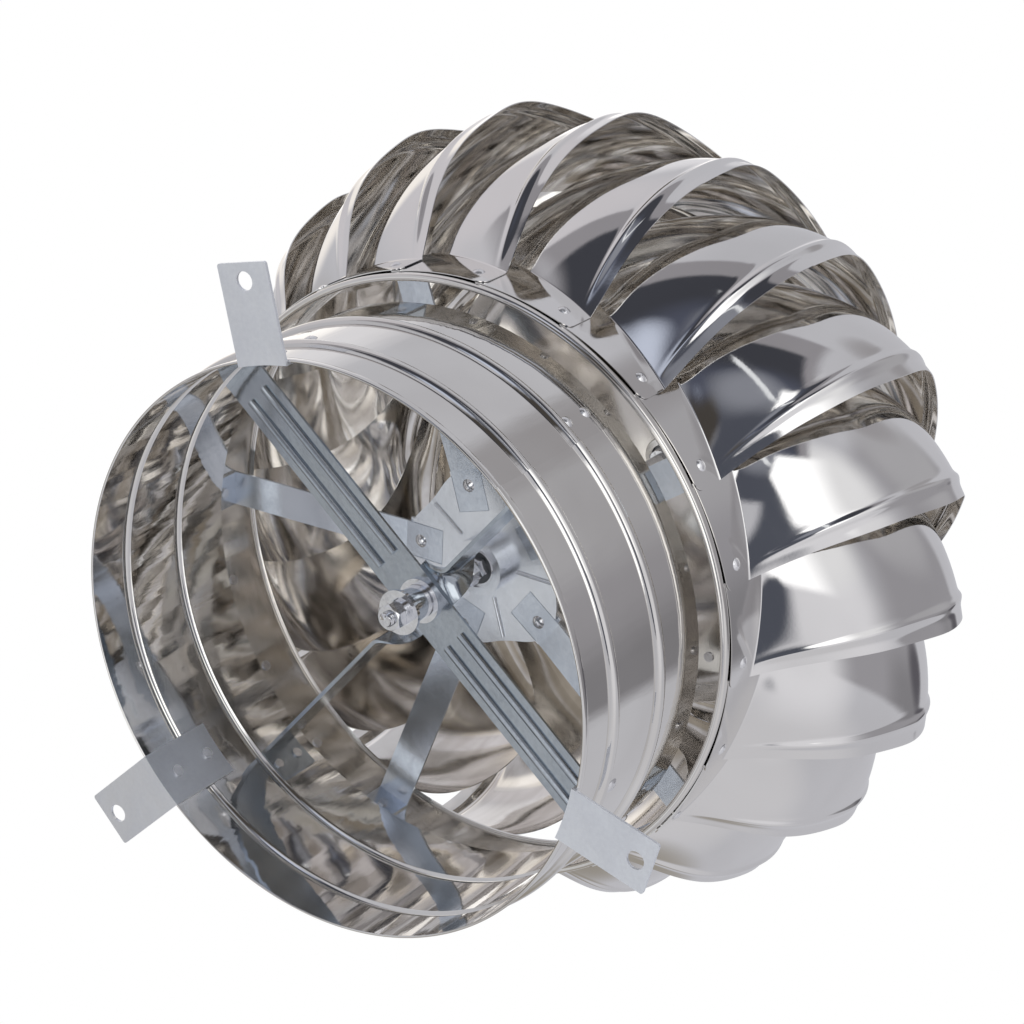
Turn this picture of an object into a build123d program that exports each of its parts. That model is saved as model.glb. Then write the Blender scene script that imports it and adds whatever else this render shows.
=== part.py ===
from build123d import *
import math
import os

# Wind-driven turbine roof ventilator. Millimetres, +Z up along the spin axis,
# origin on the axis in the plane of the undersides of the three roof tabs.

# ---------------------------------------------------------------- dimensions
# neck (fixed throat tube)
neck_r = 150.0            # outer radius of the throat tube
neck_t = 0.8              # sheet thickness
neck_z0 = 1.5             # bottom rim, resting on the tabs
neck_z1 = 105.5           # top rim, inside the spinning collar's foot
bead_z = (28.0, 69.0)     # rolled stiffening beads
bead_h = 2.6              # bead height outwards
bead_w = 3.3              # bead half width
lap_deg = 61.0            # far edge of the lap seam
lap_w_deg = 6.0           # width of the lap

# roof tabs
tab_angles = (0.0, 240.0, 120.0)
tab_w = 30.0
tab_t = 1.5
tab_out = 198.0
tab_leg_r0 = 147.7        # inner face of the curved leg
tab_leg_r1 = neck_r - neck_t
tab_leg_z = 47.0
tab_hole_r = 4.75
tab_pcd = 378.0
tab_rivet_z = (14.0, 38.0)

# bracket inside the neck
rib_strip_deg = 324.0     # direction of the flat ribbed strip
edge_strip_deg = 234.0    # direction of the strip that stands on edge
strip_w = 27.0
strip_t = 1.5
strip_z = 82.0            # underside of the ribbed strip
edge_t = 2.0
edge_w = 26.0
edge_zc = 84.5            # middle height of the on-edge strip
edge_rivet_z = (75.5, 91.0)
edge_flap_off = 3.6       # angle from the strip to its end rivets
rib_r = 2.3               # half-round ribs pressed into the flat strip
rib_y = 6.2
rib_x0 = 27.0
rib_x1 = 136.0

# shaft and fasteners (M8)
shaft_r = 4.0
shaft_z0 = 51.0
shaft_z1 = 336.0
nut_af = 13.0
nut_h = 6.5
washer_r = 12.0
washer_t = 2.0

# bearings: 8 x 22 x 7 deep groove
brg_bore = 4.0
brg_or = 11.0
brg_h = 7.0
brg_pitch = 7.5
brg_groove = 2.05
brg_ball = 1.95
brg_out_in = 9.0
brg_in_out = 6.0
brg_balls = 7
brg_z = (132.0, 320.0)    # underside of the lower and upper bearing

# hub plate and arms
hub_z = 140.5
hub_t = 1.5
hub_r = 47.0
arm_n = 5
arm_phase = -2.73
arm_w = 19.0
arm_t = 1.5
arm_in = 28.0
arm_bend = 51.0
arm_end_z = 134.5
hub_rivet_r = 42.0

# collar (spinning foot ring)
col_r = 164.0
col_t = 0.8
col_roll_z = 109.4
col_roll_r = 2.0
col_z1 = 148.0

# vanes
vane_n = 20
vane_phase = 15.27
vane_t = 0.5
vane_rivet_z = 123.6
tab_phi0 = -16.0          # root end of the tab, under the neighbour
tab_phi1 = 3.8            # free end of the tab, over the neighbour
shingle = 0.72            # radial rise of a tab over one pitch
tab_foot_z = 112.0
crown_turn = 30.0         # the blade swirls forward by this much on its way up
# free edge of the blade: radius, height, angle from the foot rivet
edge_pts = [(165.3, 131.5, 3.8), (176.5, 144.5, 2.7), (188.5, 157.5, 1.9),
            (199.5, 171.0, 1.5), (208.8, 186.5, 1.4), (215.4, 203.5, 1.5),
            (219.8, 221.0, 1.9), (222.2, 238.5, 2.4), (219.8, 256.0, 3.0),
            (212.8, 272.5, 4.3), (203.8, 286.5, 6.6), (193.0, 299.0, 10.6),
            (179.5, 309.0, 17.0), (162.5, 315.5, 25.5), (144.6, 319.0, 33.8)]
# root edge, under the neighbouring blade
root_pts = [(164.6, 146.3, -16.0), (169.5, 156.0, -17.8), (174.5, 167.0, -19.3),
            (178.0, 180.0, -20.8), (179.5, 194.0, -22.0), (179.5, 209.5, -22.8),
            (178.0, 225.5, -23.2), (175.5, 241.0, -23.0), (172.5, 255.5, -22.0),
            (169.0, 268.5, -20.0), (165.5, 280.0, -17.0), (161.0, 290.0, -12.3),
            (156.0, 298.0, -5.5), (150.0, 304.5, 4.0), (143.1, 308.0, 14.0)]
bow = 9.5                 # bow of the blade's cross-section at mid height
end_bow = 2.6
rib_u = 0.89              # stiffening bead along the free edge
rib_du = 0.028
rib_h = 1.5

# top plate and cap
top_r = 142.5
top_t = 0.8
top_z0 = 304.0
top_z1 = 330.0
top_tab_z = 326.5
top_rivet_z = 322.6
cap_r = 132.0
cap_flange = 116.0
cap_h = 17.0
cap_rivet_r = 124.0

# rivets
riv_r = 1.6
riv_head = 3.2
riv_head_h = 1.3
riv_tail = 2.7
riv_tail_h = 0.9

os.makedirs("parts", exist_ok=True)


def polar(r, deg, z=0.0):
    a = math.radians(deg)
    return Vector(r * math.cos(a), r * math.sin(a), z)


def radial_plane(r, deg, z):
    """Plane with its normal pointing outwards along a radius."""
    a = math.radians(deg)
    n = Vector(math.cos(a), math.sin(a), 0)
    return Plane(origin=Vector(r * n.X, r * n.Y, z), x_dir=(-n.Y, n.X, 0), z_dir=n)


def rivet_solid(plane, head_face, tail_face, shank=riv_r, head=riv_head,
                hh=riv_head_h, tail=riv_tail, th=riv_tail_h):
    """Dome-head rivet along the plane's normal: the head's seat is at
    head_face, the tail's seat at tail_face (distances along the normal)."""
    ro = (head * head + hh * hh) / (2 * hh)
    prof_plane = Plane(origin=plane.origin, x_dir=plane.x_dir,
                       z_dir=plane.x_dir.cross(plane.z_dir))
    # in this plane local x is the plane's x and local y is the rivet axis
    mid_a = math.asin(head / ro) / 2
    cz = head_face + hh - ro
    with BuildPart(mode=Mode.PRIVATE) as rv:
        with BuildSketch(prof_plane):
            with BuildLine():
                Line((0, head_face + hh), (0, tail_face - th))
                Line((0, tail_face - th), (tail, tail_face - th))
                Line((tail, tail_face - th), (tail, tail_face))
                Line((tail, tail_face), (shank, tail_face))
                Line((shank, tail_face), (shank, head_face))
                Line((shank, head_face), (head, head_face))
                ThreePointArc((head, head_face),
                              (ro * math.sin(mid_a), cz + ro * math.cos(mid_a)),
                              (0, head_face + hh))
            make_face()
        revolve(axis=Axis(plane.origin, plane.z_dir))
    return rv.part


def group(solids, label):
    c = Compound(children=list(solids))
    c.label = label
    return c


def save(shape, label):
    shape.label = label
    export_step(shape, "parts/" + label + ".step")


# ---------------------------------------------------------------- the neck
def bead_profile(r, h, w):
    """Points of the outer line of the wall, bottom to top."""
    return [(r, neck_z0)] + [p for b in bead_z for p in
                             ((r, b - w), (r + h, b), (r, b + w))] + [(r, neck_z1)]


with BuildPart() as neck:
    with BuildSketch(Plane.XZ):
        with BuildLine():
            ri = neck_r - neck_t
            Line((neck_r, neck_z0), (neck_r, bead_z[0] - bead_w))
            ThreePointArc((neck_r, bead_z[0] - bead_w), (neck_r + bead_h, bead_z[0]),
                          (neck_r, bead_z[0] + bead_w))
            Line((neck_r, bead_z[0] + bead_w), (neck_r, bead_z[1] - bead_w))
            ThreePointArc((neck_r, bead_z[1] - bead_w), (neck_r + bead_h, bead_z[1]),
                          (neck_r, bead_z[1] + bead_w))
            Line((neck_r, bead_z[1] + bead_w), (neck_r, neck_z1))
            Line((neck_r, neck_z1), (ri, neck_z1))
            bi = bead_w - 0.55
            Line((ri, neck_z1), (ri, bead_z[1] + bi))
            ThreePointArc((ri, bead_z[1] + bi), (ri + bead_h, bead_z[1]),
                          (ri, bead_z[1] - bi))
            Line((ri, bead_z[1] - bi), (ri, bead_z[0] + bi))
            ThreePointArc((ri, bead_z[0] + bi), (ri + bead_h, bead_z[0]),
                          (ri, bead_z[0] - bi))
            Line((ri, bead_z[0] - bi), (ri, neck_z0))
            Line((ri, neck_z0), (neck_r, neck_z0))
        make_face()
    revolve(axis=Axis.Z)
    # lap seam: a second thickness of sheet over a short arc between the beads
    for za, zb in ((neck_z0, bead_z[0] - bead_w - 1.0),
                   (bead_z[0] + bead_w + 1.0, bead_z[1] - bead_w - 1.0),
                   (bead_z[1] + bead_w + 1.0, neck_z1 - 1.0)):
        with BuildSketch(Plane.XZ.rotated((0, 0, lap_deg - lap_w_deg))):
            with BuildLine():
                Polyline((neck_r - 0.2, za), (neck_r + 0.5, za),
                         (neck_r + 0.5, zb), (neck_r - 0.2, zb), close=True)
            make_face()
        revolve(axis=Axis.Z, revolution_arc=lap_w_deg)
    # rivet holes for the tabs
    for a in tab_angles:
        for z in tab_rivet_z:
            with BuildSketch(radial_plane(140, a, z)):
                Circle(riv_r + 0.4)
            extrude(amount=20, mode=Mode.SUBTRACT)

neck_holes = []
for a, z in ((rib_strip_deg, 90.5), (rib_strip_deg, 98.5),
             (rib_strip_deg + 180, 90.5), (rib_strip_deg + 180, 98.5)):
    neck_holes.append((a, z))
for a in (edge_strip_deg, edge_strip_deg + 180):
    for z in edge_rivet_z:
        neck_holes.append((a - edge_flap_off, z))
neck_part = neck.part
cutters = []
for a, z in neck_holes:
    cutters.append(radial_plane(140, a, z) * Pos(0, 0, 10) * Cylinder(riv_r, 20))
neck_part = neck_part - cutters
save(neck_part, "neck")

# ---------------------------------------------------------------- roof tabs
tab_names = ("tab_1", "tab_2", "tab_3")
for nm, a in zip(tab_names, tab_angles):
    with BuildPart() as tab:
        # flat foot, trimmed to the tube's inner face at its inner end
        with BuildSketch(Plane.XY.rotated((0, 0, a))):
            with Locations(((tab_leg_r0 - 6 + tab_out) / 2, 0)):
                Rectangle(tab_out - tab_leg_r0 + 6, tab_w)
            Circle(tab_leg_r0, mode=Mode.SUBTRACT)
            with Locations((tab_pcd / 2, 0)):
                Circle(tab_hole_r, mode=Mode.SUBTRACT)
        extrude(amount=tab_t)
        vc = [e for e in tab.edges().filter_by(Axis.Z)
              if math.hypot(e.center().X, e.center().Y) > tab_out - 3]
        fillet(vc, 1.5)
        # leg up the inside of the tube
        half = math.degrees(math.asin(tab_w / 2 / tab_leg_r0))
        with BuildSketch(Plane.XZ.rotated((0, 0, a - half))):
            with BuildLine():
                Polyline((tab_leg_r0, tab_t / 2), (tab_leg_r1, tab_t / 2),
                         (tab_leg_r1, tab_leg_z), (tab_leg_r0, tab_leg_z), close=True)
            make_face()
        revolve(axis=Axis.Z, revolution_arc=2 * half)
        for z in tab_rivet_z:
            with BuildSketch(radial_plane(140, a, z)):
                Circle(riv_r + 0.4)
            extrude(amount=9.5, mode=Mode.SUBTRACT)
    save(tab.part, nm)

tab_rivets = []
for a in tab_angles:
    for z in tab_rivet_z:
        tab_rivets.append(rivet_solid(radial_plane(0, a, z), neck_r, tab_leg_r0 - 0.04,
                                      shank=riv_r + 0.4, head=3.9, hh=1.5, tail=3.2, th=1.0))
with BuildPart() as tab_rivet_group:
    add(tab_rivets)
save(group([s for s in tab_rivet_group.part.solids()], "tab_rivets"), "tab_rivets")

# ---------------------------------------------------------------- ribbed strip
flap_r0 = tab_leg_r0
flap_r1 = tab_leg_r1
rib_flap_z = 103.0
with BuildPart() as ribbed_strip:
    with BuildSketch(Plane.XY.offset(strip_z).rotated((0, 0, rib_strip_deg))):
        Rectangle(2 * flap_r1 + 2, strip_w)
        Circle(shaft_r, mode=Mode.SUBTRACT)
    extrude(amount=strip_t)
    with BuildSketch(Plane.XY.offset(strip_z - 1)):
        Circle(flap_r1)
    extrude(amount=strip_t + 2, mode=Mode.INTERSECT)
    half = math.degrees(math.asin(strip_w / 2 / flap_r1))
    for d in (0, 180):
        with BuildSketch(Plane.XZ.rotated((0, 0, rib_strip_deg + d - half))):
            with BuildLine():
                Polyline((flap_r0, strip_z), (flap_r1, strip_z),
                         (flap_r1, rib_flap_z), (flap_r0, rib_flap_z), close=True)
            make_face()
        revolve(axis=Axis.Z, revolution_arc=2 * half)
    # two half-round ribs on each half of the strip, on the underside
    for d in (0, 180):
        for y in (-rib_y, rib_y):
            c, s = math.cos(math.radians(rib_strip_deg + d)), math.sin(math.radians(rib_strip_deg + d))
            o = Vector(rib_x0 * c - y * s, rib_x0 * s + y * c, strip_z + 0.01)
            pl = Plane(origin=o, x_dir=(-s, c, 0), z_dir=(c, s, 0))
            with BuildSketch(pl):
                with BuildLine():
                    CenterArc((0, 0), rib_r, 180, 180)
                    Line((-rib_r, 0), (rib_r, 0))
                make_face()
            extrude(amount=rib_x1 - rib_x0)
    for d in (0, 180):
        for z in (90.5, 98.5):
            with BuildSketch(radial_plane(140, rib_strip_deg + d, z)):
                Circle(riv_r)
            extrude(amount=20, mode=Mode.SUBTRACT)
save(ribbed_strip.part, "ribbed_strip")

# ---------------------------------------------------------------- on-edge strip
with BuildPart() as edge_strip:
    rot = edge_strip_deg
    # flat centre around the shaft
    with BuildSketch(Plane.XY.offset(edge_zc - edge_t / 2).rotated((0, 0, rot))):
        Rectangle(29, edge_w)
        Circle(shaft_r, mode=Mode.SUBTRACT)
    extrude(amount=edge_t)
    for d in (0, 180):
        c, s = math.cos(math.radians(rot + d)), math.sin(math.radians(rot + d))
        # twist from flat to standing on edge
        for i in range(7):
            u = i / 6.0
            x = 14.5 + 20.0 * u
            ang = 90.0 * (3 * u * u - 2 * u * u * u)
            pl = Plane(origin=(x * c, x * s, edge_zc), x_dir=(-s, c, 0), z_dir=(c, s, 0))
            with BuildSketch(pl):
                Rectangle(edge_w, edge_t, rotation=ang)
        loft()
        pl = Plane(origin=(34.5 * c, 34.5 * s, edge_zc), x_dir=(-s, c, 0), z_dir=(c, s, 0))
        with BuildSketch(pl):
            Rectangle(edge_t, edge_w)
        extrude(amount=flap_r1 - 34.5 - 0.3)
        # end flap against the tube
        a1 = rot + d + math.degrees(edge_t / 2 / flap_r0)
        span = 7.6
        with BuildSketch(Plane.XZ.rotated((0, 0, a1 - span))):
            with BuildLine():
                Polyline((flap_r0, edge_zc - edge_w / 2), (flap_r1, edge_zc - edge_w / 2),
                         (flap_r1, edge_zc + edge_w / 2), (flap_r0, edge_zc + edge_w / 2), close=True)
            make_face()
        revolve(axis=Axis.Z, revolution_arc=span)
        for z in edge_rivet_z:
            with BuildSketch(radial_plane(140, rot + d - edge_flap_off, z)):
                Circle(riv_r)
            extrude(amount=20, mode=Mode.SUBTRACT)
save(edge_strip.part, "edge_strip")

strip_riv = [rivet_solid(radial_plane(0, a, z), neck_r, flap_r0 - 0.03) for a, z in neck_holes]
with BuildPart() as strip_rivet_group:
    add(strip_riv)
save(group(list(strip_rivet_group.part.solids()), "strip_rivets"), "strip_rivets")

# ---------------------------------------------------------------- shaft, nuts, washers
with BuildPart() as shaft:
    with BuildSketch(Plane.XY.offset(shaft_z0)):
        Circle(shaft_r)
    extrude(amount=shaft_z1 - shaft_z0)
    chamfer(shaft.edges().filter_by(GeomType.CIRCLE), 0.8)
save(shaft.part, "shaft")

nut_levels = (54.0, 87.5, 118.9, 125.5, 313.5, 327.0)
nut_turn = (12.0, 40.0, 25.0, 52.0, 0.0, 20.0)


def hex_nut(z, turn):
    rc = nut_af / math.sqrt(3)
    with BuildPart(mode=Mode.PRIVATE) as n:
        with BuildSketch(Plane.XY.offset(z)):
            RegularPolygon(radius=rc, side_count=6, rotation=turn)
        extrude(amount=nut_h)
        # chamfered corners top and bottom
        with BuildSketch(Plane.XZ):
            with BuildLine():
                r0 = nut_af / 2 - 0.15
                k = 0.58
                dr = rc + 1 - r0
                Polyline((0, z), (r0, z), (r0 + dr, z + dr * k), (r0 + dr, z + nut_h - dr * k),
                         (r0, z + nut_h), (0, z + nut_h), close=True)
            make_face()
        revolve(axis=Axis.Z, mode=Mode.INTERSECT)
        with BuildSketch(Plane.XY.offset(z)):
            Circle(shaft_r)
        extrude(amount=nut_h, mode=Mode.SUBTRACT)
    return n.part


with BuildPart() as nuts:
    add([hex_nut(z, t) for z, t in zip(nut_levels, nut_turn)])
save(group(list(nuts.part.solids()), "hex_nuts"), "hex_nuts")


def ring(r0, r1, z, h):
    with BuildPart(mode=Mode.PRIVATE) as w:
        with BuildSketch(Plane.XY.offset(z)):
            Circle(r1)
            Circle(r0, mode=Mode.SUBTRACT)
        extrude(amount=h)
    return w.part


with BuildPart() as washers:
    add([ring(shaft_r, washer_r, z, washer_t) for z in (62.7, 80.0, 85.5)])
save(group(list(washers.part.solids()), "flat_washers"), "flat_washers")

with BuildPart() as lock_washer:
    with BuildSketch(Plane.XY.offset(60.5)):
        Circle(7.4)
        Circle(shaft_r, mode=Mode.SUBTRACT)
        with Locations((5.5, 0)):
            Rectangle(5.0, 0.8, rotation=20, mode=Mode.SUBTRACT)
    extrude(amount=2.2)
save(lock_washer.part, "lock_washer")

with BuildPart() as bush:
    with BuildSketch(Plane.XY.offset(64.7)):
        Circle(9.0)
        Circle(shaft_r, mode=Mode.SUBTRACT)
    extrude(amount=15.3)
    chamfer(bush.edges().filter_by(GeomType.CIRCLE).filter_by(lambda e: e.radius > 8), 0.8)
save(bush.part, "clamp_bush")

# ---------------------------------------------------------------- bearings
for nm, z in (("lower", brg_z[0]), ("upper", brg_z[1])):
    zc = z + brg_h / 2
    with BuildPart() as inner:
        with BuildSketch(Plane.XY.offset(z)):
            Circle(brg_in_out)
            Circle(brg_bore, mode=Mode.SUBTRACT)
        extrude(amount=brg_h)
        with Locations((0, 0, zc)):
            Torus(brg_pitch, brg_groove, mode=Mode.SUBTRACT)
    save(inner.part, nm + "_inner_race")
    with BuildPart() as outer:
        with BuildSketch(Plane.XY.offset(z)):
            Circle(brg_or)
            Circle(brg_out_in, mode=Mode.SUBTRACT)
        extrude(amount=brg_h)
        with Locations((0, 0, zc)):
            Torus(brg_pitch, brg_groove, mode=Mode.SUBTRACT)
    save(outer.part, nm + "_outer_race")
    with BuildPart() as cage:
        with BuildSketch(Plane.XY.offset(zc - 2.4)):
            Circle(8.15)
            Circle(6.85, mode=Mode.SUBTRACT)
        extrude(amount=4.8)
        # round pockets drilled from outside, one for each ball
        for k in range(brg_balls):
            with BuildSketch(radial_plane(6.0, 360.0 * k / brg_balls, zc)):
                Circle(brg_ball + 0.05)
            extrude(amount=3.0, mode=Mode.SUBTRACT)
    save(cage.part, nm + "_ball_cage")
    with BuildPart() as balls:
        with PolarLocations(brg_pitch, brg_balls):
            with Locations((0, 0, zc)):
                Sphere(brg_ball)
    save(group(list(balls.part.solids()), nm + "_balls"), nm + "_balls")

with BuildPart() as seals:
    add([ring(brg_in_out + 0.08, brg_out_in, z, 0.5)
         for z in (brg_z[0] + 0.15, brg_z[0] + brg_h - 0.65, brg_z[1] + 0.15, brg_z[1] + brg_h - 0.65)])
save(group(list(seals.part.solids()), "bearing_shields"), "bearing_shields")

# ---------------------------------------------------------------- hub plate
arm_angles = [arm_phase + 72.0 * i for i in range(arm_n)]
with BuildPart() as hub_plate:
    # lobed outline: five lobes at the arms, shallow scallops between
    pts = []
    for i in range(60):
        a = math.radians(6.0 * i)
        r = hub_r + 3.2 * math.cos(5 * (a - math.radians(arm_phase)))
        pts.append((r * math.cos(a), r * math.sin(a)))
    with BuildSketch(Plane.XY.offset(hub_z)):
        with BuildLine():
            Spline(pts, periodic=True)
        make_face()
        Circle(14.0, mode=Mode.SUBTRACT)
    extrude(amount=hub_t)
    # raised seats over the arms
    for a in arm_angles:
        c, s = math.cos(math.radians(a)), math.sin(math.radians(a))
        pl = Plane(origin=(0, 0, hub_z + hub_t), x_dir=(c, s, 0), z_dir=(0, 0, 1))
        with BuildSketch(pl):
            with Locations(((26.5 + hub_r + 2.6) / 2, 0)):
                Rectangle(hub_r + 2.6 - 26.5, arm_w + 3.6)
        extrude(amount=hub_t)
        pl2 = Plane(origin=(0, 0, hub_z - 1), x_dir=(c, s, 0), z_dir=(0, 0, 1))
        with BuildSketch(pl2):
            with Locations(((27.8 + 60) / 2, 0)):
                Rectangle(60 - 27.8, arm_w + 0.6)
        extrude(amount=hub_t + 1, mode=Mode.SUBTRACT)
    # bearing cup pressed from the same sheet
    with BuildSketch(Plane.XZ):
        with BuildLine():
            Polyline((14.2, hub_z + hub_t), (13.8, hub_z + hub_t), (13.8, 132.5), (12.5, 132.5),
                     (12.5, hub_z - 0.0), (8.5, hub_z), (8.5, 139.0), (11.0, 139.0),
                     (11.0, 131.0), (15.3, 131.0), (15.3, hub_z + 0.2), (15.3, hub_z + hub_t),
                     close=True)
        make_face()
    revolve(axis=Axis.Z)
    # radial ribs between the arms
    for a in arm_angles:
        b = math.radians(a + 36)
        c, s = math.cos(b), math.sin(b)
        pl = Plane(origin=(19.5 * c, 19.5 * s, hub_z + 0.01), x_dir=(-s, c, 0), z_dir=(c, s, 0))
        with BuildSketch(pl):
            with BuildLine():
                CenterArc((0, 0), 1.2, 180, 180)
                Line((-1.2, 0), (1.2, 0))
            make_face()
        extrude(amount=22.0)
    for a in arm_angles:
        with BuildSketch(Plane.XY.offset(hub_z - 1)):
            with Locations(polar(hub_rivet_r, a)):
                Circle(2.0)
        extrude(amount=8, mode=Mode.SUBTRACT)
save(hub_plate.part, "hub_plate")

# ---------------------------------------------------------------- arms
flap_out = col_r - col_t
flap_in = flap_out - arm_t
with BuildPart() as arm_master:
    # side profile in the radial plane, extruded across the arm's width
    with BuildSketch(Plane.XZ.offset(-arm_w / 2)):
        with BuildLine():
            Polyline((arm_in, hub_z), (arm_bend, hub_z), (flap_out + 1, arm_end_z - arm_t),
                     (flap_out + 1, arm_end_z), (arm_bend, hub_z + arm_t),
                     (arm_in, hub_z + arm_t), close=True)
        make_face()
    extrude(amount=arm_w)
    with BuildSketch(Plane.XY.offset(100)):
        Circle(flap_out)
    extrude(amount=60, mode=Mode.INTERSECT)
    # flap bent down against the inside of the collar
    half = math.degrees(math.asin(arm_w / 2 / flap_out))
    with BuildSketch(Plane.XZ.rotated((0, 0, -half))):
        with BuildLine():
            Polyline((flap_in, 115.5), (flap_out, 115.5), (flap_out, arm_end_z),
                     (flap_in, arm_end_z), close=True)
        make_face()
    revolve(axis=Axis.Z, revolution_arc=2 * half)
    with BuildSketch(radial_plane(155, 0, vane_rivet_z)):
        Circle(riv_r)
    extrude(amount=12, mode=Mode.SUBTRACT)
    with BuildSketch(Plane.XY.offset(hub_z - 1)):
        with Locations((hub_rivet_r, 0)):
            Circle(2.0)
    extrude(amount=6, mode=Mode.SUBTRACT)

for i, a in enumerate(arm_angles):
    with BuildPart() as arm:
        add(arm_master.part.rotate(Axis.Z, a))
    save(arm.part, "arm_%d" % (i + 1))


def hub_rivet(a):
    p = polar(hub_rivet_r, a)
    pl = Plane(origin=(p.X, p.Y, 0), x_dir=(0, 1, 0), z_dir=(0, 0, -1))
    # head under the arm, tail on top of the raised seat
    return rivet_solid(pl, -hub_z, -(hub_z + 2 * hub_t), shank=2.0, head=3.6, hh=1.5,
                       tail=3.0, th=0.9)


with BuildPart() as hub_rivets:
    add([hub_rivet(a) for a in arm_angles])
save(group(list(hub_rivets.part.solids()), "hub_rivets"), "hub_rivets")

# ---------------------------------------------------------------- collar
vane_angles = [vane_phase + 18.0 * i for i in range(vane_n)]
with BuildPart() as collar:
    with BuildSketch(Plane.XZ):
        with BuildLine():
            rc = col_r - col_roll_r
            Polyline((col_r, col_roll_z), (col_r, col_z1), (col_r - col_t, col_z1),
                     (col_r - col_t, col_roll_z), close=True)
        make_face()
        with Locations((col_r - col_roll_r, col_roll_z)):
            Circle(col_roll_r)
            Circle(col_roll_r - col_t, mode=Mode.SUBTRACT)
        with Locations((col_r - 1.5, col_z1 - 0.4)):
            Circle(1.5)
            Circle(1.5 - 0.7, mode=Mode.SUBTRACT)
    revolve(axis=Axis.Z)
collar_part = collar.part - [radial_plane(155, a, vane_rivet_z) * Pos(0, 0, 6) * Cylinder(riv_r, 12)
                             for a in vane_angles]
save(collar_part, "collar_ring")


# ---------------------------------------------------------------- vane
def tab_r(phi_deg, base):
    """Inner radius of the shingled tab at an angle from its rivet."""
    return base + 0.06 + shingle * (phi_deg - tab_phi0) / 18.0


n_st = len(edge_pts)
bot_base = col_r
top_base = top_r
us = [0.0, 0.15, 0.30, 0.45, 0.60, 0.72, 0.80, 0.845, 0.868, 0.89, 0.912, 0.935, 0.965, 1.0]


def ramp(p_edge, p_root, base, turn):
    """Section along a fold: it follows the tab's curved face and climbs
    evenly from the free end to the root end."""
    zt1, zt0 = p_edge[1], p_root[1]
    outs, ins = [], []
    for u in us:
        ph = tab_phi0 + (tab_phi1 - tab_phi0) * u
        rr = tab_r(ph, base)
        outs.append(polar(rr + vane_t, ph))
        ins.append(polar(rr, ph))
    m = (zt1 - zt0) / (outs[-1].Y - outs[0].Y)
    tau = Vector(0, 1, m).normalized()
    nrm = Vector(1, 0, 0)
    org = Vector(0, 0, zt1 - m * outs[-1].Y)
    pl = Plane(origin=org, x_dir=tau, z_dir=tau.cross(nrm))
    fo = [(p.Y / tau.Y, p.X) for p in outs]
    fi = [(p.Y / tau.Y, p.X) for p in ins]
    return (turned(pl, turn) if turn else pl), fo, fi


def turned(pl, deg):
    """The same plane turned about the spin axis."""
    o = pl.origin.rotate(Axis.Z, deg)
    return Plane(origin=o, x_dir=pl.x_dir.rotate(Axis.Z, deg), z_dir=pl.z_dir.rotate(Axis.Z, deg))


def station(i):
    """Plane and the outer and inner section curves at station i.
    Local x runs across the blade, local y points out of its convex face."""
    if i == 0:
        return ramp(edge_pts[0], root_pts[0], bot_base, 0)
    if i == n_st - 1:
        return ramp(edge_pts[-1], root_pts[-1], top_base, crown_turn)
    e, r = edge_pts[i], root_pts[i]
    p1 = polar(e[0], e[2], e[1])
    p0 = polar(r[0], r[2], r[1])
    ea, eb = edge_pts[i - 1], edge_pts[i + 1]
    run = (polar(eb[0], eb[2], eb[1]) - polar(ea[0], ea[2], ea[1])).normalized()
    c = (p1 - p0).normalized()
    w = (run - c * run.dot(c)).normalized()
    pl = Plane(origin=p1, x_dir=c, z_dir=w)
    if pl.y_dir.dot(Vector(p1.X, p1.Y, 0)) < 0:
        pl = Plane(origin=p1, x_dir=c, z_dir=-w)
    L = (p1 - p0).length
    s = i / (n_st - 1.0)
    f = math.sin(math.pi * s)
    b = end_bow + (bow - end_bow) * f
    hb = rib_h * min(1.0, 1.6 * f)
    fo, fi = [], []
    for u in us:
        y = 4 * b * u * (1 - u) + hb * math.exp(-((u - rib_u) / rib_du) ** 2)
        fo.append((-L * (1 - u), y))
    for k in range(len(us)):
        a0, a1 = fo[max(k - 1, 0)], fo[min(k + 1, len(us) - 1)]
        dx, dy = a1[0] - a0[0], a1[1] - a0[1]
        l = math.hypot(dx, dy)
        fi.append((fo[k][0] + vane_t * dy / l, fo[k][1] - vane_t * dx / l))
    return pl, fo, fi


def tab_outline(base):
    """Outer and inner points of a tab's curved cross-section."""
    ph = [tab_phi0 + (tab_phi1 - tab_phi0) * u for u in us]
    go = [polar(tab_r(p, base) + vane_t, p) for p in ph]
    gi = [polar(tab_r(p, base), p) for p in ph]
    return [(p.Y, p.X) for p in go], [(p.Y, p.X) for p in gi]


with BuildPart() as vane_body:
    for i in range(n_st):
        pl, fo, fi = station(i)
        with BuildSketch(pl):
            with BuildLine():
                Spline(fo)
                Line(fo[-1], fi[-1])
                Spline(fi[::-1])
                Line(fi[0], fo[0])
            make_face()
    loft()

with BuildPart() as vane_tab_low:
    pl, fo, fi = station(0)
    with BuildSketch(pl):
        with BuildLine():
            Spline(fo)
            Line(fo[-1], fi[-1])
            Spline(fi[::-1])
            Line(fi[0], fo[0])
        make_face()
    fo, fi = tab_outline(bot_base)
    with BuildSketch(Plane(origin=(0, 0, tab_foot_z), x_dir=(0, 1, 0), z_dir=(0, 0, -1))):
        with BuildLine():
            Spline(fo)
            Line(fo[-1], fi[-1])
            Spline(fi[::-1])
            Line(fi[0], fo[0])
        make_face()
    loft(ruled=True)

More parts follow.
